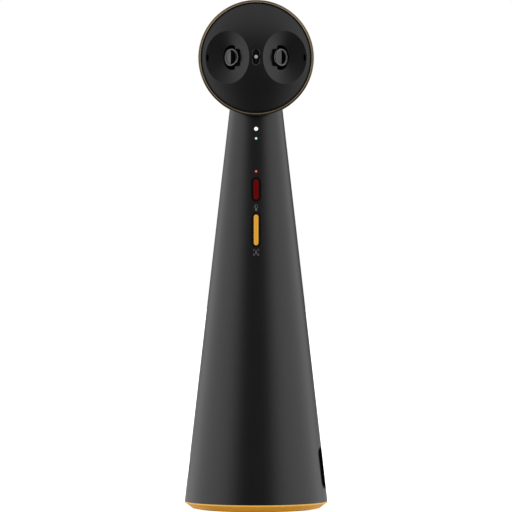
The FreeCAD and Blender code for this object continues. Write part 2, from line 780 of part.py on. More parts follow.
def make_inside():
    behind = -cells.chassis_front
    back = behind - cells.chassis_thickness
    low_half = chassis_foot_radius - cells.chassis_low_inset
    spine = new_body("chassis_spine", place(roll=90))
    add(spine, outline([
        (-low_half, ballast_top), (low_half, ballast_top),
        (cells.chassis_top_half, chassis_top), (-cells.chassis_top_half, chassis_top),
    ]), back, behind)
    corner = cells.standoff_inset
    spots = []
    for side in (-1, 1):
        for height in (cells.board_low + corner, cells.board_high - corner):
            spots.append((side * (cells.board_half_width - corner), height))
    for x, height in spots:
        add(spine, disc(cells.standoff_radius, x, height), behind, -board_back)
    foot = prism("chassis_foot", disc(chassis_foot_radius), ballast_top, chassis_foot_top)
    pieces = [spine, foot]
    board_behind = -(cells.key_board_depth + cells.key_board_thickness)
    for height in (framing_z, red_z):
        plate_middle = cells.chassis_front + cells.chassis_thickness / 2
        reach = -(cone_radius(height) + plate_middle) / cosine(cone_angle)
        for side in (-1, 1):
            post = disc(cells.post_radius, side * cells.post_side)
            pieces.append(prism("post", post, reach, board_behind, on_cone(height)))
    joined("chassis", pieces)

    board = new_body("main_board", place(roll=90))
    middle = (cells.board_low + cells.board_high) / 2
    tall = cells.board_high - cells.board_low
    add(board, plate(2 * cells.board_half_width, tall, 0, middle), -board_back, -board_front)
    plug_middle = cells.board_high - cells.plug_height / 2
    add(board, plate(cells.plug_width, cells.plug_height, 0, plug_middle), -board_front,
        -board_front + cells.plug_depth)
    chip_face = -board_front + cells.chip_height
    prism("processor", plate(cells.chip_size, cells.chip_size, 0, middle), -board_front, chip_face,
          place(roll=90))

    sink = new_body("heat_sink", place(roll=90))
    sink_face = chip_face + cells.sink_base
    add(sink, plate(cells.sink_width, cells.sink_height, 0, middle), chip_face, sink_face)
    pitch = (cells.sink_width - cells.fin_thickness) / 8
    for step in range(-4, 5):
        fin = plate(cells.fin_thickness, cells.sink_height, step * pitch, middle)
        add(sink, fin, sink_face, sink_face + cells.fin_length)


# Neck

def make_neck():
    low = chassis_top
    bracket = new_body("bracket_turned")
    add(bracket, disc(cells.bracket_flange), low, low + cells.bracket_flange_height)
    add(bracket, disc(cells.bracket_radius), low + cells.bracket_flange_height, head_z)
    take(bracket, disc(cells.loom_radius + 2 * cells.key_gap, 0, -cells.loom_forward), low, head_z)
    drum_floor = head_z - drum_inner
    for side in (-1, 1):
        hole = disc(cells.neck_screw_radius + cells.key_gap, 0, side * cells.neck_screw_side)
        take(bracket, hole, drum_floor - cells.neck_screw_length - cells.fit, head_z)
    seat = prism("bracket_seat", disc(drum_radius + cells.fit), -cells.base_radius,
                 cells.base_radius, on_head())
    less("neck_bracket", bracket, [seat])

    seat = drum_inner * drum_inner - cells.neck_screw_head * cells.neck_screw_head
    head_low = head_z - root(seat) + cells.fit
    screw = turned("neck_screw", outline([
        (NOTHING, head_low - cells.neck_screw_length),
        (cells.neck_screw_radius, head_low - cells.neck_screw_length),
        (cells.neck_screw_radius, head_low), (cells.neck_screw_head, head_low),
        (cells.neck_screw_head, head_low + cells.neck_screw_head_height),
        (NOTHING, head_low + cells.neck_screw_head_height),
    ]))
    side = cells.neck_screw_side.value
    group("neck_screws", screw, [Placement(Vector(0, y, 0), Rotation()) for y in (-side, side)])
    prism("loom", disc(cells.loom_radius, 0, -cells.loom_forward), cells.board_high,
          head_z - head_board_radius)


# Head

def make_head():
    front, back = cells.drum_front, -cells.drum_back
    curve = cells.drum_round
    inner_curve = cells.drum_round - cells.drum_wall
    drum = turned("drum_turned", outline([
        (NOTHING, back), (drum_radius - curve, back), (drum_radius, back + curve),
        (drum_radius, front), (drum_inner, front), (drum_inner, back + curve),
        (drum_inner - inner_curve, back + cells.drum_wall), (NOTHING, back + cells.drum_wall),
    ], {
        1: (drum_radius - curve, back + curve, 1),
        5: (drum_inner - inner_curve, back + curve, -1),
    }), on_head())
    post_low = back + cells.drum_wall / 2
    for turn in (90, 210, 330):
        post = disc(cells.head_post_radius, head_board_radius - cells.head_post_inset)
        add(drum, post, post_low, -cells.head_board_back, turn)
    holes = [prism("loom_hole", disc(cells.loom_radius + 2 * cells.key_gap, 0, -cells.loom_forward),
                   neck_z - cells.wall, head_z - drum_radius / 2)]
    for side in (-1, 1):
        hole = disc(cells.neck_screw_radius + cells.key_gap, 0, side * cells.neck_screw_side)
        holes.append(prism("screw_hole", hole, neck_z - cells.wall, head_z - drum_radius / 2))
    less("head_shell", drum, holes)

    ring_front = front + cells.ring_length
    outer, bore, soft = cells.head_radius, cells.head_radius - cells.ring_width, cells.ring_round
    groove, cut = outer - soft, cells.ring_groove
    turned("head_ring", outline([
        (bore, front), (outer, front), (outer, ring_front - soft), (groove, ring_front),
        (groove, ring_front - cut), (groove - cut, ring_front - cut), (groove - cut, ring_front),
        (bore + cut, ring_front), (bore, ring_front - cut),
    ], {2: (outer - soft, ring_front - soft, 1)}), on_head())

    shoulder = front + cells.gasket_height
    turned("face_gasket", outline([
        (drum_inner, front), (bore - cells.key_gap, front), (bore - cells.key_gap, shoulder),
        (drum_inner, shoulder),
    ]), on_head())

    board_back = -cells.head_board_back
    board_face = board_back + cells.board_thickness
    board = new_body("head_board", on_head())
    add(board, disc(head_board_radius), board_back, board_face)
    plug_middle = cells.plug_height / 2 - head_board_radius
    add(board, plate(cells.plug_width, cells.plug_height, 0, plug_middle), board_face,
        cells.loom_forward + cells.loom_radius)


def dish_cone(name, side, sink):
    """A dish as an oblique cone from its lowest point through its rim on the dome."""
    rim = []
    for reach in (dish_outer, cells.dish_inner):
        rise = math.sqrt(cells.dome_sphere.value ** 2 - reach.value ** 2)
        rim.append(Vector(side * reach.value, -(dome_centre.value + rise), head_z.value))
    tip = Vector(side * cells.tip_side.value, -(cells.tip_front.value - sink), head_z.value)
    middle = (rim[0] + rim[1]) / 2 + Vector(0, sink, 0)
    across = (rim[0] - rim[1]) / 2
    up = Vector(0, 0, cells.dish_half_tall.value)
    wires = []
    near_tip, past_rim = 0.15, 1.6
    for share in (near_tip, past_rim):
        centre = tip + (middle - tip) * share
        oval = Part.Ellipse(centre + up * share, centre + across * share, centre)
        wires.append(Part.Wire([oval.toShape()]))
    made = doc.addObject("Part::Feature", name)
    made.Label = name
    made.Shape = Part.makeLoft(wires, True, True)
    return made


def make_face():
    front = cells.drum_front
    shoulder = front + cells.gasket_height
    spigot = drum_inner - 2 * cells.key_gap
    spigot_low = shoulder - cells.spigot_length
    skirt_inner = spigot - cells.face_wall * 3 / 4
    inner_sphere = cells.dome_sphere - cells.face_wall
    inner_edge = dome_centre + root(inner_sphere * inner_sphere - skirt_inner * skirt_inner)
    turned("dome_shell", outline([
        (spigot, spigot_low), (spigot, shoulder), (face_radius, shoulder),
        (face_radius, dome_edge), (NOTHING, dome_top), (NOTHING, dome_top - cells.face_wall),
        (skirt_inner, inner_edge), (skirt_inner, spigot_low),
    ], {
        3: (NOTHING, dome_centre, 1),
        5: (NOTHING, dome_centre, -1),
    }), on_head())
    dome_shell = doc.getObject("dome_shell")
    post = cells.status_board_tall / 2 - cells.status_post_inset
    board_face = dome_top - cells.lamp_length - cells.led_height + 2 * cells.fit
    for side in (-1, 1):
        pillar = disc(cells.status_post_radius, 0, side * post)
        add(dome_shell, pillar, board_face, dome_top - cells.face_wall / 2)
    dome_block = turned("dome_block", outline([
        (NOTHING, front), (face_radius, front), (face_radius, dome_edge), (NOTHING, dome_top),
    ], {2: (NOTHING, dome_centre, 1)}), on_head())

    walls, cuts = [], []
    for side, hand in ((-1, "left"), (1, "right")):
        walls.append(dish_cone("dish_wall_" + hand, side, cells.face_wall.value))
        cuts.append(dish_cone("dish_" + hand, side, 0.0))
        eye = doc.addObject("Part::Feature", "eye_" + hand)
        centre = Vector(side * cells.eye_side.value, -cells.drum_front.value, head_z.value)
        oval = Part.Ellipse(centre + Vector(0, 0, cells.eye_half_tall.value),
                            centre + Vector(cells.eye_half_wide.value, 0, 0), centre)
        hole = Part.Face(Part.Wire([oval.toShape()])).extrude(Vector(0, -cells.dome_sphere.value / 2, 0))
        reach = cells.dome_sphere.value
        start = side * cells.eye_end.value if side > 0 else -cells.eye_end.value - reach
        half = Part.makeBox(reach, reach, reach, Vector(start, -reach, head_z.value - reach / 2))
        eye.Shape = hole.common(half)
        cuts.append(eye)
        square = cells.holder_size + 2 * cells.fit
        window = prism("holder_window_" + hand, plate(square, square, corner=cells.holder_corner),
                       -cells.holder_length, cells.holder_size, lens_place(side))
        middle = side * cells.eye_side / 2
        inner_half = prism("inner_half_" + hand, plate(cells.eye_side, 2 * face_radius, middle),
                           NOTHING, 2 * dome_top, on_head())
        cuts.append(shared("holder_opening_" + hand, [window, inner_half]))
        slot = obround(cells.mic_wide, cells.mic_tall, side * (dish_outer - cells.mic_inset))
        cuts.append(prism("mic_slot_" + hand, slot, front, dome_top, on_head()))
    gap = 2 * cells.fit
    seat = dome_top - cells.pill_thickness + cells.fit
    cuts.append(prism("pill_seat", obround(cells.pill_wide + gap, cells.pill_tall + gap), seat,
                      dome_top + cells.wall, on_head()))
    cuts.append(prism("lamp_hole", disc(cells.lamp_radius + gap), front, dome_top + cells.wall, on_head()))
    lining = shared("dish_lining", [dome_block, joined("dish_walls", walls)])
    less("head_face", joined("face_whole", [dome_shell, lining]), cuts)

    window = new_body("status_window", on_head())
    pill_top = seat + cells.pill_thickness
    pill = add(window, obround(cells.pill_wide, cells.pill_tall), seat, pill_top)
    round_top(window, pill, pill_top, cells.pill_round)
    take(window, disc(cells.lamp_radius + cells.fit), seat, pill_top)
    lamp_top = dome_top + 2 * cells.fit
    prism("status_lamp", disc(cells.lamp_radius), lamp_top - cells.lamp_length, lamp_top, on_head())
    board = new_body("status_board", on_head())
    add(board, plate(cells.status_board_wide, cells.status_board_tall),
        board_face - cells.status_board_thickness, board_face)
    add(board, plate(cells.led_size, cells.led_size), board_face, board_face + cells.led_height)

    for side, hand in ((-1, "left"), (1, "right")):
        mesh_high = cells.tip_front - cells.mesh_depth
        mesh = obround(cells.mic_wide - gap, cells.mic_tall - gap, side * (dish_outer - cells.mic_inset))
        prism("mic_mesh_" + hand, mesh, mesh_high - cells.mesh_thickness, mesh_high, on_head())
        mic_high = cells.tip_front - cells.face_wall - cells.fit
        body = plate(cells.mic_body_wide, cells.mic_body_tall, side * (dish_outer - cells.mic_body_inset))
        prism("microphone_" + hand, body, mic_high - cells.mic_body_height, mic_high, on_head())


# Lens modules, each in a frame whose z is its optical axis

def lens_place(side):
    return place(side * cells.lens_side, -cells.lens_front, head_z, yaw=side * cells.lens_turn, roll=90)


def make_lenses():
    ring_low = -cells.lens_ring_height
    back = ring_low - cells.holder_length
    glass = cells.lens_ring_bore - cells.fit
    crown = cells.lens_crown
    edge_high = crown - cells.lens_rise
    edge_low = edge_high - cells.lens_edge
    front_sphere = (glass * glass + cells.lens_rise * cells.lens_rise) / (2 * cells.lens_rise)
    hollow, deep = cells.lens_hollow_radius, cells.lens_hollow
    back_sphere = (hollow * hollow + deep * deep) / (2 * deep)
    seat = edge_low - 2 * cells.inner_lens_edge
    inner_low = seat - cells.inner_lens_edge
    inner, rise = cells.inner_lens_radius, cells.inner_lens_rise
    inner_sphere = (inner * inner + rise * rise) / (2 * rise)
    for side, hand in ((-1, "left"), (1, "right")):
        where = lens_place(side)
        holder = new_body("lens_holder_" + hand, where)
        size = cells.holder_size
        add(holder, plate(size, size, corner=cells.holder_corner), back, ring_low)
        take(holder, disc(glass + cells.fit), edge_low, ring_low)
        take(holder, disc(inner + cells.fit), inner_low, edge_low)
        take(holder, disc(cells.holder_bore), back, inner_low)
        pocket = cells.sensor_size + 2 * cells.key_gap
        take(holder, plate(pocket, pocket), back, back + cells.sensor_pocket)

        bevel = cells.lens_ring_height / 3
        turned("lens_ring_" + hand, outline([
            (cells.lens_ring_bore, ring_low), (cells.lens_ring_radius, ring_low),
            (cells.lens_ring_radius, -bevel), (cells.lens_ring_radius - bevel / 2, NOTHING),
            (cells.lens_ring_bore + bevel / 2, NOTHING), (cells.lens_ring_bore, -bevel / 2),
        ]), where)

        turned("front_lens_" + hand, outline([
            (hollow, edge_low), (glass, edge_low), (glass, edge_high), (NOTHING, crown),
            (NOTHING, edge_low + deep),
        ], {
            2: (NOTHING, crown - front_sphere, 1),
            4: (NOTHING, edge_low + deep - back_sphere, -1),
        }), where)

        turned("inner_lens_" + hand, outline([
            (NOTHING, inner_low), (inner, inner_low), (inner, seat), (NOTHING, seat + rise),
        ], {2: (NOTHING, seat + rise - inner_sphere, 1)}), where)

        board_size = cells.holder_size - 2 * cells.key_gap
        prism("sensor_board_" + hand, plate(board_size, board_size), back - cells.sensor_board_thickness,
              back, where)
        prism("image_sensor_" + hand, plate(cells.sensor_size, cells.sensor_size), back,
              back + cells.sensor_height, where)

        # The ribbon leaves square to the sensor board and then runs straight back to the head board
        deep_end = -back + cells.sensor_board_thickness
        lean = cosine(cells.lens_turn)
        start_x = cells.lens_side - deep_end * sine(cells.lens_turn)
        start_y = deep_end * lean - cells.lens_front
        half = cells.ribbon_thickness / 2 * lean
        far = cells.head_board_back - cells.board_thickness
        bend = start_y + (start_x - cells.ribbon_side)
        corners = [
            (start_x + half, start_y + half), (start_x - half, start_y - half),
            (cells.ribbon_side - 2 * half, bend), (cells.ribbon_side - 2 * half, far),
            (cells.ribbon_side, far), (cells.ribbon_side, bend + 2 * half),
        ]
        if side < 0:
            corners = [(-x, y) for x, y in corners]
        low = head_z - cells.ribbon_height / 2
        prism("sensor_ribbon_" + hand, outline(corners), low, low + cells.ribbon_height)


NODES = [
    "body_shell", "base_ring", "base_plate", "foot_ring", "base_screws", "tripod_insert", "ballast_disc",
    "chassis", "main_board", "processor", "heat_sink", "key_board",
    "mute_key", "mute_frame", "mute_switch", "mute_plunger",
    "framing_key", "framing_frame", "framing_switch", "framing_plunger",
    "white_light", "teal_light", "red_light", "status_leds",
    "port_liner", "usb_sockets", "port_board", "lock_plate",
    "neck_bracket", "neck_screws", "loom",
    "head_shell", "head_ring", "face_gasket", "head_face", "head_board",
    "status_window", "status_lamp", "status_board",
] + [piece + hand for hand in ("_left", "_right") for piece in (
    "lens_holder", "lens_ring", "front_lens", "inner_lens", "sensor_board", "image_sensor", "sensor_ribbon",
    "mic_mesh", "microphone",
)]


def write_nodes():
    doc.recompute()
    for item in doc.Objects:
        if "Invalid" in item.State or "Error" in item.State:
            raise RuntimeError("%s did not recompute: %s" % (item.Label, item.State))
    found = {item.Label: item for item in doc.Objects}
    shapes = {}
    for name in NODES:
        shape = found[name].Shape
        if shape.isNull() or not shape.isValid() or not shape.Solids:
            raise RuntimeError("%s has no valid solid" % name)
        shapes[name] = shape
    os.makedirs("parts", exist_ok=True)
    for name, shape in shapes.items():
        shape.exportStep("parts/%s.step" % name)
        print("%-22s %2d solid  %10.1f mm3" % (name, len(shape.Solids), shape.Volume))


make_foot()
make_shell()
make_keys()
make_bay()
make_lock()
make_inside()
make_neck()
make_head()
make_face()
make_lenses()
write_nodes()
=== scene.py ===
"""Looks of the conference camera: finishes for its pieces, printed signs, studio, camera."""

import math

import bmesh
import bpy
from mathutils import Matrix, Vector


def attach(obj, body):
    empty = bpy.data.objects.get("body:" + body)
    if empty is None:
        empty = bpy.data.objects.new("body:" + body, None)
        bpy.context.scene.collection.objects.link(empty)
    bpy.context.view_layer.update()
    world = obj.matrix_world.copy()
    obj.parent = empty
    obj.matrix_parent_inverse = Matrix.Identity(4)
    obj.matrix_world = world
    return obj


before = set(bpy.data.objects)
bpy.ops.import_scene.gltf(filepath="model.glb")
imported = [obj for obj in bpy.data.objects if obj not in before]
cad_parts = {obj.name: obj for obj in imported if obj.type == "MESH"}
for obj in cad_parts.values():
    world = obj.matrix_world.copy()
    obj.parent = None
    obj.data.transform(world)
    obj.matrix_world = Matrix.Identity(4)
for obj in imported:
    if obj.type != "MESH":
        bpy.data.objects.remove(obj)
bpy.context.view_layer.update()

# Heights above the table and the cone's two radii, shared with the solids, in metres
HEAD_HEIGHT = 0.28375
NECK_HEIGHT = 0.2482
WHITE_HEIGHT = 0.2393
TEAL_HEIGHT = 0.2333
RED_HEIGHT = 0.2126
MUTE_HEIGHT = 0.2012
MIC_SIGN_HEIGHT = 0.18995
FRAMING_HEIGHT = 0.17585
FRAMING_SIGN_HEIGHT = 0.16175
LOCK_HEIGHT = 0.0261
SEAM_HEIGHT = 0.00475
BASE_RADIUS = 0.04515
NECK_RADIUS = 0.0172
CONE_FALL = (BASE_RADIUS - NECK_RADIUS) / (NECK_HEIGHT - SEAM_HEIGHT)

# Keys, half their width and height
MUTE_HALF_WIDE = 0.00205
MUTE_HALF_TALL = 0.00675
FRAMING_HALF_WIDE = 0.001575
FRAMING_HALF_TALL = 0.00975

# Lens modules: a lens ring's centre, its turn to the side, the line that parts the painted grey
# reflection from black
LENS_SIDE = 0.01604
LENS_FRONT = 0.0242
LENS_LEAN = math.sqrt(0.5)
LENS_LIFT = 0.0002
LENS_SPLIT = 0.0159

# Lens ring: where its flank and its wall begin below its front, its wall painted black as shade,
# and the soft edges of its bands and of the painted shade outside them
TRIM_FLANK = 0.00035
TRIM_DEPTH = 0.0011
LAND_EDGE = (0.0046, 0.0047)
BAND_EDGE = (0.00495, 0.00515)
RIM_EDGE = (0.00538, 0.00546)

# Head ring, as distances from the head's axis, where its painted shade lies
RING_BORE = 0.0348
RING_GROOVE = 0.03555
RING_BEAD = 0.03575

# Status window: the radius of its ends, half its straight length, its sensor spots
WINDOW_HALF = 0.00255
WINDOW_STRAIGHT = 0.00255
SPOT_HEIGHT = 0.0028

# Lock slot: its turn from the side to the front, half its width and height, its edge's rim
LOCK_TURN = math.radians(8)
LOCK_HALF_WIDE = 0.0015
LOCK_HALF_TALL = 0.0037
LOCK_RIM = 0.00002

# Painted tones: half the width of a crisp edge, the darkest tone, painted as shade on the lens
# rings, the pitch of the wire mesh
CRISP = 0.0001
SHADE_BLACK = (0.0006, 0.0006, 0.0006)
WEAVE = 0.00018

# Signs: how far they stand off the cone
SIGN_LIFT = 0.00002

# Studio: the floor, the point that the lamps face, the world's levels as light
FLOOR_RADIUS = 9.0
LIGHT_AIM = (0, 0, 0.16)
FRONT_LEVEL = 0.055
SIDE_LEVEL = 1.28
TOP_LEVEL = 0.72
BACK_LEVEL = 0.12

# Camera: its place, the picture's side in pixels, a pixel's width at the object in metres
EYE_SIDE = -0.000063
EYE_DISTANCE = 2.375
EYE_HEIGHT = 0.15952
FRAME_PIXELS = 512
PIXEL = 0.0006322
SENSOR = 36.0


def cone_radius(height):
    return BASE_RADIUS - CONE_FALL * (height - SEAM_HEIGHT)


def toned(color, share):
    """A colour made lighter or darker."""
    return tuple(c * share for c in color)


# Shader maths

class Value:
    """A socket of a node tree, written in sums like a number."""

    def __init__(self, nodes, socket):
        self.nodes = nodes
        self.socket = socket

    def maths(self, operation, *others):
        return self.nodes.node("ShaderNodeMath", {"operation": operation}, [self, *others])

    def __add__(self, other):
        return self.maths("ADD", other)

    def __radd__(self, other):
        return self.maths("ADD", other)

    def __sub__(self, other):
        return self.maths("SUBTRACT", other)

    def __rsub__(self, other):
        return self.nodes.node("ShaderNodeMath", {"operation": "SUBTRACT"}, [other, self])

    def __mul__(self, other):
        return self.maths("MULTIPLY", other)

    def __rmul__(self, other):
        return self.maths("MULTIPLY", other)

    def __truediv__(self, other):
        return self.maths("DIVIDE", other)

    def __pow__(self, other):
        return self.maths("POWER", other)

    def __abs__(self):
        return self.maths("ABSOLUTE")

    def most(self, other):
        return self.maths("MAXIMUM", other)

    def fade(self, low, high):
        """0 below low and 1 above high, smooth between."""
        return self.nodes.node("ShaderNodeMapRange", {"interpolation_type": "SMOOTHSTEP"},
                               {"Value": self, "From Min": low, "From Max": high})


class Nodes:
    """A node tree with one way to make a node."""

    def __init__(self, tree):
        self.tree = tree

    def feed(self, socket, value):
        """Links a value to a socket, or sets a number or a colour on it."""
        if isinstance(value, Value):
            self.tree.links.new(value.socket, socket)
        elif isinstance(value, tuple) and len(value) == 3 and socket.type == "RGBA":
            socket.default_value = (*value, 1)
        else:
            socket.default_value = value

    def node(self, kind, settings=None, inputs=None, output=0):
        made = self.tree.nodes.new(kind)
        for name, setting in (settings or {}).items():
            setattr(made, name, setting)
        pairs = inputs.items() if isinstance(inputs, dict) else enumerate(inputs or [])
        for name, value in pairs:
            self.feed(made.inputs[name], value)
        return made if output is None else Value(self, made.outputs[output])

    def place(self, scale=(1, 1, 1), turn=(0, 0, 0), shift=(0, 0, 0)):
        """Where a point lies on the object, in metres, turned or stretched for a pattern."""
        here = self.node("ShaderNodeTexCoord", output="Object")
        return self.node("ShaderNodeMapping", {"vector_type": "POINT"},
                         {"Vector": here, "Location": shift, "Rotation": turn, "Scale": scale})

    def parts(self, vector):
        cut = self.node("ShaderNodeSeparateXYZ", None, [vector], output=None)
        return [Value(self, out) for out in cut.outputs]

    def noise(self, where, scale, detail=2.0, rough=0.5):
        return self.node("ShaderNodeTexNoise", None,
                         {"Vector": where, "Scale": scale, "Detail": detail, "Roughness": rough})

    def blend(self, share, one, two):
        """Colour one where share is 0, colour two where it is 1."""
        return self.node("ShaderNodeMix", {"data_type": "RGBA"},
                         {0: share, 6: one, 7: two}, output=2)

    def bump(self, height, depth, under=None):
        inputs = {"Height": height, "Distance": depth, "Strength": 1.0}
        if under is not None:
            inputs["Normal"] = under
        return self.node("ShaderNodeBump", None, inputs)


def material(name, **constants):
    """A new material: its node tree and a call that sets the shader's sockets."""
    made = bpy.data.materials.new(name)
    made.use_nodes = True
    nodes = Nodes(made.node_tree)
    shader = made.node_tree.nodes["Principled BSDF"]

    def finish(**sockets):
        for socket_name, value in sockets.items():
            nodes.feed(shader.inputs[socket_name.replace("_", " ")], value)

    finish(**constants)
    return made, nodes, finish


# Finishes

def moulded(name, color, rough, grain=0.00018, depth=0.000012, **constants):
    """Moulded plastic or rubber: fine spark-eroded grain, flow marks, small changes of sheen."""
    made, nodes, finish = material(name, **constants)
    where = nodes.place()
    fine = nodes.noise(where, 1 / grain, detail=3.0, rough=0.6)
    broad = nodes.noise(where, 55.0, detail=3.0)
    tone = (broad * 0.6 + fine * 0.4).fade(0.35, 0.65)
    finish(Base_Color=nodes.blend(tone, toned(color, 0.88), toned(color, 1.12)),
           Roughness=(broad - 0.5) * 0.08 + (fine - 0.5) * 0.1 + rough,
           Normal=nodes.bump(fine, depth))
    return made


def metal(name, color, rough, grain):
    """Metal with brushed or cast marks: the grain is stretched by its scale along each axis."""
    made, nodes, finish = material(name, Metallic=1.0)
    marks = nodes.noise(nodes.place(scale=grain), 1.0, detail=4.0, rough=0.6)
    cloud = nodes.noise(nodes.place(), 90.0, detail=3.0)
    finish(Base_Color=nodes.blend(marks.fade(0.3, 0.7), toned(color, 0.9), toned(color, 1.1)),
           Roughness=(marks - 0.5) * 0.2 + (cloud - 0.5) * 0.08 + rough,
           Normal=nodes.bump(marks, 0.000004))
    return made


def turned_metal(name, color, rough, pitch, depth, metallic):
    """Anodised metal turned about the head's axis: fine rings, a painted highlight over its upper
    part, and painted shade in its groove, on its inner wall, on its outer edge and towards its
    bottom.
    """
    made, nodes, finish = material(name)
    where = nodes.place()
    x, y, z = nodes.parts(where)
    up = z - HEAD_HEIGHT
    reach = (x * x + up * up) ** 0.5
    round_head = nodes.node("ShaderNodeCombineXYZ", None, [reach, y, 0.0])
    rings = nodes.noise(round_head, 1 / pitch, rough=0.7)
    cloud = nodes.noise(where, 140.0, detail=3.0)

    # rise is 1 at the ring's top, 0 at its sides and -1 at its bottom
    rise = up / reach
    # painted highlight: the ring's upper part lighter, less so at its very top
    top_highlight = rise.fade(0.15, 0.55) * (1 - rise.fade(0.75, 1.0) * 0.85)
    turned = nodes.blend(rings.fade(0.3, 0.7), toned(color, 0.88), toned(color, 1.1))
    tone = nodes.blend(top_highlight, turned, toned(color, 1.6))
    low = (rise * -1).fade(0.2, 0.6)
    # painted shade: the groove dark, weakest at the sides; the outer edge darker, most at the
    # bottom; the inner wall dark; the bottom darker. Metallic rises with it, so the reflection
    # darkens too
    groove = 1 - abs(reach - RING_GROOVE).fade(0.0001, 0.0003)
    groove = groove * (0.2 + abs(rise).fade(0.15, 0.5) * 0.6 + rise.fade(0.85, 1.0) * 0.2)
    bead_shade = reach.fade(RING_BEAD - 0.0002, RING_BEAD + 0.0001) * (0.42 + low * 0.55)
    bore_shade = (1 - reach.fade(RING_BORE - CRISP, RING_BORE + CRISP)) * 0.95
    dark = groove.most(bead_shade).most(bore_shade).most((rise * -1).fade(0.55, 1.0) * 0.3)
    finish(Base_Color=nodes.blend(dark, tone, toned(color, 0.05)),
           Metallic=dark * 0.6 + metallic,
           Roughness=(cloud - 0.5) * 0.1 + (rings - 0.5) * 0.12 + rough,
           Normal=nodes.bump(rings, depth))
    return made


def glowing(name, color, middle, border, height, core, edge, strength=1.0):
    """A light pipe's milky end: brightest in the middle, deeper towards its edge."""
    made, nodes, finish = material(name, Roughness=0.3, Specular_IOR_Level=0.1,
                                   Emission_Strength=strength)
    x, _, z = nodes.parts(nodes.place(shift=(0, 0, -height)))
    far = ((x * x + z * z) ** 0.5).fade(core, edge)
    speck = nodes.noise(nodes.place(), 2500.0)
    finish(Base_Color=nodes.blend(speck, color, toned(color, 0.9)),
           Emission_Color=nodes.blend(far, middle, border))
    return made


def board_finish(name, mask, track, pad_color):
    """Circuit board: solder mask over copper tracks and round pads."""
    made, nodes, finish = material(name, Roughness=0.35, Coat_Weight=0.5)
    where = nodes.place()
    tracks = nodes.node("ShaderNodeTexBrick", {"offset": 0.5},
                        {"Vector": nodes.place(turn=(math.pi / 2, 0, 0)), "Scale": 260.0,
                         "Mortar Size": 0.045, "Color1": (0, 0, 0), "Color2": (0, 0, 0),
                         "Mortar": (1, 1, 1)}, output="Fac")
    pads = nodes.node("ShaderNodeTexVoronoi", {"feature": "F1"},
                      {"Vector": where, "Scale": 420.0}, output="Distance")
    pad = 1 - pads.fade(0.16, 0.2)
    cover = nodes.blend(nodes.noise(where, 120.0), toned(mask, 0.8), toned(mask, 1.2))
    finish(Base_Color=nodes.blend(pad, nodes.blend(tracks * 0.6, cover, track), pad_color),
           Metallic=pad * 0.9,
           Normal=nodes.bump(tracks * 0.5 + pad, 0.00003))
    return made


def mesh_cloth(name):
    """Fine woven wire mesh over a microphone."""
    made, nodes, finish = material(name, Roughness=0.6, Specular_IOR_Level=0.1)
    x, _, z = nodes.parts(nodes.place())
    warp = (x * (math.pi / WEAVE)).maths("SINE")
    weft = (z * (math.pi / WEAVE)).maths("SINE")
    gap = (abs(warp) * abs(weft)).fade(0.15, 0.5)
    finish(Base_Color=nodes.blend(gap, (0.004, 0.004, 0.0042), (0.0008, 0.0008, 0.0008)),
           Metallic=0.6 * (1 - gap),
           Normal=nodes.bump(1 - gap, 0.00004))
    return made


def amber_ring_finish(name):
    """Satin amber ring: a painted highlight on its lip, and painted light on its lower edge, both
    paler than the slope between them.
    """
    made, nodes, finish = material(name, Specular_IOR_Level=0.14)
    where = nodes.place()
    z = nodes.parts(where)[2]
    fine = nodes.noise(where, 6500.0, detail=3.0, rough=0.6)
    broad = nodes.noise(where, 70.0, detail=3.0)
    # painted highlight on the lip; painted light over the lowest 3 mm, palest at the very bottom,
    # where the chamfer faces downwards
    lip = z.fade(SEAM_HEIGHT - 0.001, SEAM_HEIGHT - 0.0006)
    foot = 1 - z.fade(0.0004, 0.0032)
    sole = 1 - z.fade(0.0003, 0.0012)
    slope = nodes.blend(broad, (0.71, 0.36, 0.028), (0.76, 0.386, 0.031))
    lower = nodes.blend(sole, nodes.blend(foot, slope, (0.94, 0.475, 0.05)), (1.0, 0.64, 0.13))
    finish(Base_Color=nodes.blend(lip, lower, (0.9, 0.485, 0.095)),
           Roughness=(fine - 0.5) * 0.1 + 0.42,
           Normal=nodes.bump(fine, 0.000008))
    return made


def key_finish(name, inner, outer, half_wide, half_tall, height, core, rim):
    """A key: full colour in the middle, an outer tone of painted light beside it, and painted shade
    along its edge.
    """
    made, nodes, finish = material(name, Specular_IOR_Level=0.03)
    where = nodes.place()
    x, _, z = nodes.parts(where)
    along = (abs(z - height) - (half_tall - half_wide)).most(0.0)
    far = (x * x + along ** 2) ** 0.5
    fine = nodes.noise(where, 5000.0, detail=3.0, rough=0.6)
    cloud = nodes.noise(where, 260.0)
    middle = nodes.blend(cloud, inner, toned(inner, 0.93))
    # painted light: the outer tone beside the middle, shade on the red key and a highlight on the
    # amber key
    face = nodes.blend(far.fade(core, rim), middle, outer)
    # painted shade along the key's edge
    edge = far.fade(half_wide - 0.0005, half_wide - 0.0001)
    finish(Base_Color=nodes.blend(edge, face, toned(outer, 0.35)),
           Roughness=(fine - 0.5) * 0.1 + 0.4,
           Normal=nodes.bump(fine, 0.000006))
    return made


def lens_reflection_tone(nodes, x, side, level):
    """A painted grey reflection on the left part of a lens, and the black of the rest."""
    # noise that makes the painted grey reflection uneven
    bloom = nodes.noise(nodes.place(), 400.0)
    grey = nodes.blend(bloom, toned((level,) * 3, 0.94), toned((level,) * 3, 1.06))
    return nodes.blend((x - side * LENS_SPLIT).fade(-CRISP, CRISP), grey, (0.0006, 0.0006, 0.0007))


def eye_glass(name, side, level):
    """The outer lens: coated black glass with a painted grey reflection on its left part."""
    made, nodes, finish = material(name, IOR=1.06)
    x = nodes.parts(nodes.place())[0]
    smear = nodes.noise(nodes.place(), 900.0)
    finish(Base_Color=lens_reflection_tone(nodes, x, side, level), Roughness=smear * 0.05 + 0.1)
    return made


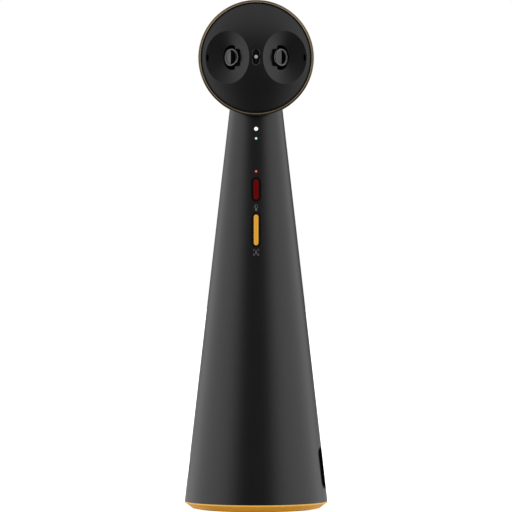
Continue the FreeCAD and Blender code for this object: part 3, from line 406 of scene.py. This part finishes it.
def trim_finish(name, side, level):
    """The ring round a lens: a grey band and the top of its outer wall, its inner land as dark as
    the glass and carrying its painted reflection; its deeper wall and all outside the band's oval
    painted near black as shade.
    """
    made, nodes, finish = material(name, Specular_IOR_Level=0.15)
    where = nodes.place(shift=(-side * LENS_SIDE, LENS_FRONT, -HEAD_HEIGHT))
    x, y, z = nodes.parts(where)

    # along runs out on the lens's axis, across over its face, and the bands are ovals on it
    along = (x * side - y) * LENS_LEAN
    across = (x + y * side) * LENS_LEAN
    up = z - LENS_LIFT
    speck = nodes.noise(where, 2500.0)
    grey = nodes.blend(speck, toned((level,) * 3, 0.95), toned((level,) * 3, 1.05))
    # the land carries the lens's painted grey reflection and its black
    tone = lens_reflection_tone(nodes, x + side * LENS_SIDE, side, level)
    if side < 0:
        within = ((across / 1.19) ** 2 + up * up) ** 0.5
    else:
        within = (((across + 0.0007) * 0.94) ** 2 + up * up) ** 0.5
        reach = (across * across + up * up) ** 0.5
        tone = nodes.blend(reach.fade(*BAND_EDGE), tone, (0.02, 0.02, 0.02))
    # painted shade: the wall deeper than TRIM_DEPTH and all outside the oval, near black
    flank = 1 - (along + TRIM_FLANK).fade(-CRISP, CRISP)
    wall = 1 - (along + TRIM_DEPTH).fade(-CRISP, CRISP)
    land = nodes.blend(within.fade(*LAND_EDGE).most(flank), tone, grey)
    outside = ((across / 1.07) ** 2 + up * up) ** 0.5
    finish(Base_Color=nodes.blend(wall.most(outside.fade(*RIM_EDGE)), land, SHADE_BLACK),
           Roughness=speck * 0.08 + 0.36,
           Normal=nodes.bump(speck, 0.000003))
    return made


def window_finish(name):
    """Gloss black window: a painted highlight along its rounded edge, and two sensor spots behind
    the glass.
    """
    made, nodes, finish = material(name, IOR=1.2)
    where = nodes.place(shift=(0, 0, -HEAD_HEIGHT))
    x, _, z = nodes.parts(where)
    along = (abs(z) - WINDOW_STRAIGHT).most(0.0)
    far = (x * x + along * along) ** 0.5
    # painted highlight on the rounded edge: strong at its sides and lower end, faint at mid-height
    # and along its top
    flank = abs(x).fade(0.0004, 0.0012).most(1 - z.fade(-0.004, -0.002))
    flank = abs(z).fade(0.0008, 0.0016) * flank
    edge = far.fade(WINDOW_HALF - 0.00065, WINDOW_HALF - 0.0003) * (flank * 0.95 + 0.05)
    spot = (x * x + (abs(z) - SPOT_HEIGHT) ** 2) ** 0.5
    disc = 1 - spot.fade(0.0007, 0.0011)
    speck = nodes.noise(where, 2200.0)
    pane = nodes.blend(disc, (0.0018, 0.0018, 0.0019), (0.0052, 0.0052, 0.0054))
    finish(Base_Color=nodes.blend(edge, pane, (0.046, 0.046, 0.047)),
           Roughness=speck * 0.04 + 0.14)
    return made


def clear_glass(name, tint):
    """Polished lens glass with a faint coating bloom."""
    made, nodes, finish = material(name, Transmission_Weight=1.0, IOR=1.5, Coat_Weight=0.25,
                                   Coat_Tint=(0.55, 0.75, 1.0))
    bloom = nodes.noise(nodes.place(), 300.0)
    finish(Base_Color=nodes.blend(bloom, tint, toned(tint, 0.96)), Roughness=bloom * 0.01 + 0.015)
    return made


def round_normal(nodes, where):
    """The cone's own normal on its outside, free of the facets round the openings.

    Elsewhere it is the mesh's, as in the lock slot, whose wall faces forwards.
    """
    x, y, z = nodes.parts(where)
    reach = (x * x + y * y) ** 0.5
    outward = nodes.node("ShaderNodeCombineXYZ", None, [x / reach, y / reach, CONE_FALL])
    outward = nodes.node("ShaderNodeVectorTransform",
                         {"vector_type": "NORMAL", "convert_from": "OBJECT", "convert_to": "WORLD"},
                         [outward])
    outward = nodes.node("ShaderNodeVectorMath", {"operation": "NORMALIZE"}, [outward])
    surface = SEAM_HEIGHT * CONE_FALL + BASE_RADIUS - z * CONE_FALL
    skin = 1 - abs(reach - surface).fade(0.0005, 0.0008)
    skin = skin * (1 - z.fade(NECK_HEIGHT - 0.001, NECK_HEIGHT))
    skin = skin * z.fade(SEAM_HEIGHT, SEAM_HEIGHT + 0.0004)
    across = abs(x * math.sin(LOCK_TURN) - y * math.cos(LOCK_TURN))
    upward = abs(z - LOCK_HEIGHT)
    slot = 1 - across.fade(LOCK_HALF_WIDE + LOCK_RIM, LOCK_HALF_WIDE + CRISP)
    slot = slot * (1 - upward.fade(LOCK_HALF_TALL + LOCK_RIM, LOCK_HALF_TALL + CRISP))
    skin = skin * (1 - slot * (1 - x.fade(-0.02, -0.01)))
    return nodes.blend(skin, nodes.node("ShaderNodeNewGeometry", output="Normal"), outward)


def shell_finish(name, color, rough):
    """The cone's and the head's fine matte black moulding, with a faint satin bloom."""
    made, nodes, finish = material(name, IOR=1.5)
    where = nodes.place()
    grain = nodes.noise(where, 5200.0, detail=3.0, rough=0.65)
    coarse = nodes.noise(where, 1900.0)
    broad = nodes.noise(where, 26.0, detail=3.0)
    tone = (broad * 0.5 + grain * 0.5).fade(0.35, 0.65)
    finish(Base_Color=nodes.blend(tone, toned(color, 0.88), toned(color, 1.12)),
           Roughness=(broad - 0.5) * 0.05 + (grain - 0.5) * 0.12 + rough,
           Normal=nodes.bump(grain * 0.7 + coarse * 0.3, 0.000014,
                             under=round_normal(nodes, where)))
    return made


def printed(name, color):
    """Grey printing ink, slightly uneven."""
    made, nodes, finish = material(name)
    speck = nodes.noise(nodes.place(), 9000.0)
    finish(Base_Color=nodes.blend(speck, color, toned(color, 0.8)),
           Roughness=speck * 0.2 + 0.45,
           Normal=nodes.bump(speck, 0.000004))
    return made


black_shell = shell_finish("fine matte black", (0.0048, 0.0048, 0.005), rough=0.31)
black_face = shell_finish("satin black face", (0.0053, 0.0053, 0.0056), rough=0.34)
amber = amber_ring_finish("satin amber ring")
bronze = turned_metal("bronze ring", (0.29, 0.224, 0.14), rough=0.42, pitch=0.00016,
                      depth=0.000008, metallic=0.35)
rubber = moulded("black rubber", (0.02, 0.02, 0.021), 0.75, grain=0.0003, depth=0.00003)
grey_moulding = moulded("dark grey moulding", (0.05, 0.05, 0.053), 0.5)
bezel = moulded("deep black moulding", (0.0052, 0.0026, 0.0026), 0.5, grain=0.00014,
                Specular_IOR_Level=0.08)
amber_bezel = moulded("amber black moulding", (0.0085, 0.0042, 0.0008), 0.5, grain=0.00014,
                      Specular_IOR_Level=0.08)
lens_black = moulded("lens barrel black", (0.0008, 0.0008, 0.0009), 0.6, grain=0.0002,
                     Specular_IOR_Level=0.05)
lock_black = moulded("blackened lock plate", (0.002, 0.002, 0.0021), 0.6,
                     Specular_IOR_Level=0.05)
chip_black = moulded("resin package", (0.012, 0.012, 0.013), 0.5, grain=0.00012)
cable_black = moulded("cable jacket", (0.015, 0.015, 0.016), 0.55)
film = moulded("amber film cable", (0.4, 0.17, 0.03), 0.3, grain=0.0004, depth=0.000004)
steel = metal("plain steel", (0.5, 0.51, 0.52), 0.34, grain=(900, 900, 60))
dark_steel = metal("blackened steel", (0.06, 0.06, 0.064), 0.45, grain=(700, 700, 700))
shell_steel = metal("stamped steel", (0.5, 0.5, 0.51), 0.3, grain=(1500, 1500, 160))
sink_aluminium = metal("plain aluminium", (0.62, 0.63, 0.64), 0.38, grain=(160, 900, 900))
brass = metal("turned brass", (0.7, 0.5, 0.22), 0.28, grain=(140, 140, 2600))
board = board_finish("circuit board", mask=(0.016, 0.1, 0.042), track=(0.03, 0.19, 0.07),
                     pad_color=(0.62, 0.6, 0.5))
dark_board = board_finish("black circuit board", mask=(0.0018, 0.002, 0.0018),
                          track=(0.003, 0.0032, 0.003), pad_color=(0.005, 0.005, 0.004))
mesh_black = mesh_cloth("black wire mesh")
# levels: the painted grey reflection on each lens, lighter on the left; on the rings, their band
# grey and the painted reflection on their lands
left_glass = eye_glass("left front glass", side=-1, level=0.145)
right_glass = eye_glass("right front glass", side=1, level=0.088)
left_trim = trim_finish("left lens ring", side=-1, level=0.14)
right_trim = trim_finish("right lens ring", side=1, level=0.125)
inner_glass = clear_glass("inner glass", (0.8, 0.86, 0.95))
# the red key's outer tone is painted shade, darker than its middle
red_key = key_finish("red key", inner=(0.166, 0.0002, 0.0002), outer=(0.045, 0.007, 0.006),
                     half_wide=MUTE_HALF_WIDE, half_tall=MUTE_HALF_TALL, height=MUTE_HEIGHT,
                     core=0.0003, rim=0.0017)
# the amber key's outer tone is a painted highlight, paler than its middle
amber_key = key_finish("amber key", inner=(0.82, 0.355, 0.018), outer=(0.75, 0.47, 0.14),
                       half_wide=FRAMING_HALF_WIDE, half_tall=FRAMING_HALF_TALL,
                       height=FRAMING_HEIGHT, core=0.0007, rim=0.0012)
white_pipe = glowing("white light", (0.01, 0.01, 0.01), middle=(1, 1, 1),
                     border=(0.012, 0.012, 0.012), height=WHITE_HEIGHT, core=0.0011, edge=0.0013,
                     strength=1.2)
teal_pipe = glowing("teal light", (0.0, 0.004, 0.004), middle=(0.7, 1.0, 0.96),
                    border=(0.001, 0.08, 0.074), height=TEAL_HEIGHT, core=0.00046, edge=0.00088)
red_pipe = glowing("red light", (0.004, 0.0, 0.0), middle=(0.76, 0.26, 0.25),
                   border=(0.2, 0.006, 0.004), height=RED_HEIGHT, core=0.00036, edge=0.00076)
lamp_pipe = glowing("status lamp", (0.03, 0.03, 0.03), middle=(0.3, 0.305, 0.31),
                    border=(0.003, 0.003, 0.003), height=HEAD_HEIGHT + 0.00024, core=0.0009,
                    edge=0.00118)
pill_gloss = window_finish("gloss black window")
ink = printed("grey ink", (0.12, 0.12, 0.122))

FINISHES = {
    "body_shell": black_shell, "head_shell": black_shell, "head_face": black_face,
    "head_ring": bronze, "face_gasket": rubber,
    "base_ring": amber, "base_plate": grey_moulding, "foot_ring": rubber,
    "base_screws": dark_steel, "tripod_insert": brass, "ballast_disc": steel,
    "chassis": grey_moulding, "main_board": board, "processor": chip_black,
    "heat_sink": sink_aluminium, "key_board": board, "loom": cable_black,
    "mute_key": red_key, "mute_frame": bezel, "mute_switch": chip_black,
    "mute_plunger": grey_moulding,
    "framing_key": amber_key, "framing_frame": amber_bezel, "framing_switch": chip_black,
    "framing_plunger": grey_moulding,
    "white_light": white_pipe, "teal_light": teal_pipe, "red_light": red_pipe,
    "status_leds": chip_black,
    "port_liner": bezel, "usb_sockets": shell_steel, "port_board": board,
    "lock_plate": lock_black, "neck_bracket": grey_moulding, "neck_screws": dark_steel,
    "head_board": dark_board, "status_window": pill_gloss, "status_lamp": lamp_pipe,
    "status_board": dark_board,
    "front_lens_left": left_glass, "front_lens_right": right_glass,
    "lens_ring_left": left_trim, "lens_ring_right": right_trim,
}
BOTH_SIDES = {
    "lens_holder": lens_black, "inner_lens": inner_glass, "sensor_board": dark_board,
    "image_sensor": chip_black, "sensor_ribbon": film, "mic_mesh": mesh_black,
    "microphone": shell_steel,
}
for hand in ("left", "right"):
    for piece, look in BOTH_SIDES.items():
        FINISHES[piece + "_" + hand] = look

for name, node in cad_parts.items():
    node.data.materials.clear()
    node.data.materials.append(FINISHES[name])
    node.data.polygons.foreach_set("material_index", [0] * len(node.data.polygons))


# Printed signs on the cone, thin skins that follow it

def flat_plate(shape, wide, tall, x=0.0, y=0.0):
    """A flat rectangle, finely divided so that it can bend onto the cone."""
    made = bmesh.ops.create_grid(shape, x_segments=8, y_segments=8, size=0.5)["verts"]
    bmesh.ops.scale(shape, vec=(wide, tall, 1), verts=made)
    bmesh.ops.translate(shape, vec=(x, y, 0), verts=made)


def outline_ring(shape, wide, tall, line, y):
    """A flat obround line: two loops joined by a band."""
    edges = []
    for inset in (0.0, line):
        loop = bmesh.ops.create_circle(shape, segments=40, radius=wide / 2 - inset)["verts"]
        for vert in loop:
            vert.co.y += math.copysign((tall - wide) / 2, vert.co.y) + y
        edges += {edge for vert in loop for edge in vert.link_edges}
    bmesh.ops.bridge_loops(shape, edges=edges)


def half_disc(shape, radius, y):
    """A flat half disc, its straight side below."""
    for vert in bmesh.ops.create_circle(shape, cap_ends=True, segments=36, radius=radius)["verts"]:
        vert.co.y = max(vert.co.y, 0.0) + y


def wrap_on_cone(shape, height):
    """Bends a flat drawing onto the front of the cone, a hair proud of it."""
    slope = math.atan(CONE_FALL)
    for vert in shape.verts:
        level = height + vert.co.y * math.cos(slope)
        radius = cone_radius(level) + SIGN_LIFT
        vert.co = Vector((vert.co.x, -math.sqrt(radius ** 2 - vert.co.x ** 2), level))


def mic_sign(shape):
    """A microphone: outlined capsule, stem and foot."""
    outline_ring(shape, wide=0.0021, tall=0.0025, line=0.00026, y=0.0005)
    flat_plate(shape, 0.0003, 0.0013, -0.00035, 0.0005)
    flat_plate(shape, 0.0013, 0.0008, 0, -0.0012)
    flat_plate(shape, 0.001, 0.0005, 0, -0.0019)
    wrap_on_cone(shape, MIC_SIGN_HEIGHT)


def framing_sign(shape):
    """A head and shoulders inside four framing corners."""
    for side in (-1, 1):
        flat_plate(shape, 0.0009, 0.00022, side * 0.0013, 0.00195)
        flat_plate(shape, 0.0003, 0.001, side * 0.0016, 0.0013)
        flat_plate(shape, 0.0011, 0.00055, side * 0.0012, -0.0016)
        flat_plate(shape, 0.0003, 0.0006, side * 0.0016, -0.001)
    outline_ring(shape, wide=0.0011, tall=0.0012, line=0.0003, y=0.0008)
    half_disc(shape, radius=0.0008, y=-0.0008)
    wrap_on_cone(shape, FRAMING_SIGN_HEIGHT)


def add_sign(name, draw):
    shape = bmesh.new()
    draw(shape)
    bmesh.ops.remove_doubles(shape, verts=shape.verts, dist=0.000001)
    bmesh.ops.recalc_face_normals(shape, faces=shape.faces)
    mesh = bpy.data.meshes.new(name)
    shape.to_mesh(mesh)
    shape.free()
    mesh.materials.append(ink)
    piece = bpy.data.objects.new(name, mesh)
    bpy.context.collection.objects.link(piece)
    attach(piece, "housing")


add_sign("mic_sign", mic_sign)
add_sign("framing_sign", framing_sign)


# Studio: pale floor, soft light from all round except straight in front

def pale_floor():
    """A floor that the camera sees white, and gloss sees light only at the object's sides."""
    shape = bmesh.new()
    bmesh.ops.create_circle(shape, cap_ends=True, segments=96, radius=FLOOR_RADIUS)
    mesh = bpy.data.meshes.new("studio_floor")
    shape.to_mesh(mesh)
    shape.free()
    floor = bpy.data.objects.new("studio_floor", mesh)
    bpy.context.collection.objects.link(floor)
    paint, nodes, finish = material("pale floor", Roughness=0.9, Specular_IOR_Level=0.1)
    x, y, _ = nodes.parts(nodes.place())
    aside = abs(x) / (x * x + y * y + 0.0001) ** 0.5
    wedge = (1 - aside.fade(0.32, 1.0)) * (1 - y.fade(-0.1, 0.1))
    ray = nodes.node("ShaderNodeLightPath", output=None)
    glossy = Value(nodes, ray.outputs["Is Glossy Ray"])
    seen = Value(nodes, ray.outputs["Is Camera Ray"])
    finish(Base_Color=nodes.blend(glossy * wedge, (0.8, 0.8, 0.8), (0.04, 0.04, 0.04)),
           Emission_Color=(1, 1, 1),
           Emission_Strength=seen * 0.85 + glossy * aside.fade(0.5, 0.95) * 0.55)
    mesh.materials.append(paint)


def soft_world():
    """White where the camera looks; as light, bright at the sides and dark straight in front."""
    world = bpy.data.worlds.new("studio")
    bpy.context.scene.world = world
    world.use_nodes = True
    nodes = Nodes(world.node_tree)
    ray = nodes.node("ShaderNodeLightPath", output=None)
    seen = Value(nodes, ray.outputs["Is Camera Ray"])
    plain = seen.most(Value(nodes, ray.outputs["Is Transmission Ray"]))
    x, y, z = nodes.parts(nodes.node("ShaderNodeTexCoord", output="Generated"))
    front = 1 - y.fade(-0.3, 0.3)
    behind = y.fade(0.45, 0.95)
    right = x.fade(-0.1, 0.1)
    aside = (abs(x + front * 0.035) - behind * right * 0.1).fade(0.27, 0.9)
    above = z.fade(0.2, 0.8) * TOP_LEVEL
    left_behind = behind * (1 - right) * BACK_LEVEL
    level = FRONT_LEVEL + SIDE_LEVEL * aside + (1 - aside) * above + left_behind
    back = world.node_tree.nodes["Background"]
    nodes.feed(back.inputs["Strength"], level * (1 - plain) + plain)
    nodes.feed(back.inputs["Color"], (1, 1, 1))


def soft_light(name, place, size, power):
    """A rectangular lamp that gloss doesn't mirror."""
    lamp = bpy.data.lights.new(name, "AREA")
    lamp.shape = "RECTANGLE"
    lamp.size, lamp.size_y = size
    lamp.energy = power
    made = bpy.data.objects.new(name, lamp)
    bpy.context.collection.objects.link(made)
    made.location = place
    made.rotation_euler = (Vector(LIGHT_AIM) - Vector(place)).to_track_quat("-Z", "Y").to_euler()
    made.visible_glossy = False


pale_floor()
soft_world()
soft_light("left_light", (-1.3, 0.1, 0.5), size=(0.7, 1.3), power=2.0)
soft_light("right_light", (1.3, -0.35, 0.5), size=(0.7, 1.3), power=1.5)
soft_light("front_light", (0, -2.7, 0.12), size=(0.8, 0.8), power=23.0)

view = bpy.data.cameras.new("camera")
view.sensor_width = SENSOR
view.lens = SENSOR * EYE_DISTANCE / (FRAME_PIXELS * PIXEL)
view.clip_end = 50.0
eye = bpy.data.objects.new("camera", view)
bpy.context.collection.objects.link(eye)
eye.location = (EYE_SIDE, -EYE_DISTANCE, EYE_HEIGHT)
eye.rotation_euler = (math.pi / 2, 0, 0)
bpy.context.scene.camera = eye
bpy.context.scene.view_settings.view_transform = "Standard"
